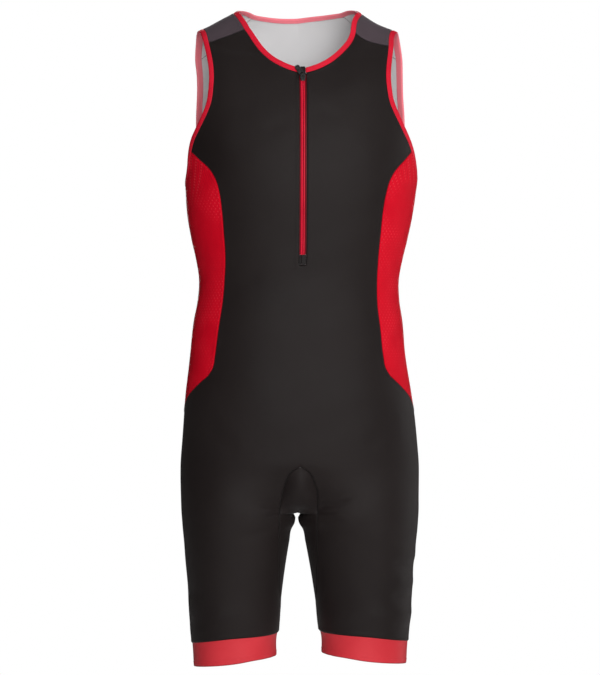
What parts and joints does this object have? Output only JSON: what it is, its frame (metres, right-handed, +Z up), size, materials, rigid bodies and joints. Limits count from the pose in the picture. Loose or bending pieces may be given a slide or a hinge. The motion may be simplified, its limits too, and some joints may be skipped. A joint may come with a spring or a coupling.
{
  "type": "triathlon suit",
  "caption": "Sleeveless short-legged one-piece triathlon suit, hollow as worn, with a front half zip, shoulder yokes, curved side panels, bound edges and elastic leg bands.",
  "frame": {"origin": "between the shoulders, level with the side of the neck, where the wearer's shoulders hold the suit up", "axes": "+Z up, -Y towards the front, +X towards the wearer's left"},
  "size_m": [0.3447, 0.2433, 0.9522],
  "materials": {
    "black_cloth": "smooth stretch knit, soft sheen",
    "yoke_cloth": "heathered dark grey knit",
    "side_cloth": "fine-mesh stretch knit",
    "gripper_band": "smooth elastic band",
    "binding_cloth": "folded elastic binding",
    "zip_tape": "woven zip tape with moulded teeth",
    "zip_black": "matt",
    "zip_metal": "black enamel"
  },
  "bodies": {
    "suit": {"front_panel": "black_cloth", "back_panel": "black_cloth", "gusset": "black_cloth", "yoke_left": "yoke_cloth", "yoke_right": "yoke_cloth", "side_panel_left": "side_cloth", "side_panel_right": "side_cloth", "leg_band_left": "gripper_band", "leg_band_right": "gripper_band", "neck_binding": "binding_cloth", "armhole_binding_left": "binding_cloth", "armhole_binding_right": "binding_cloth", "zip_left": "zip_tape", "zip_right": "zip_tape", "zip_end": "zip_black", "zip_guard": "zip_black", "slider": "zip_metal"},
    "pull": {"pull_tab": "zip_metal"}
  },
  "joints": [
    {"name": "pull_hinge", "type": "hinge", "parent": "suit", "child": "pull", "pos_m": [0.00397, -0.10103, -0.10058], "axis": [0.8553, 0.1687, 0.4899], "range_deg": [0, 180]}
  ]
}
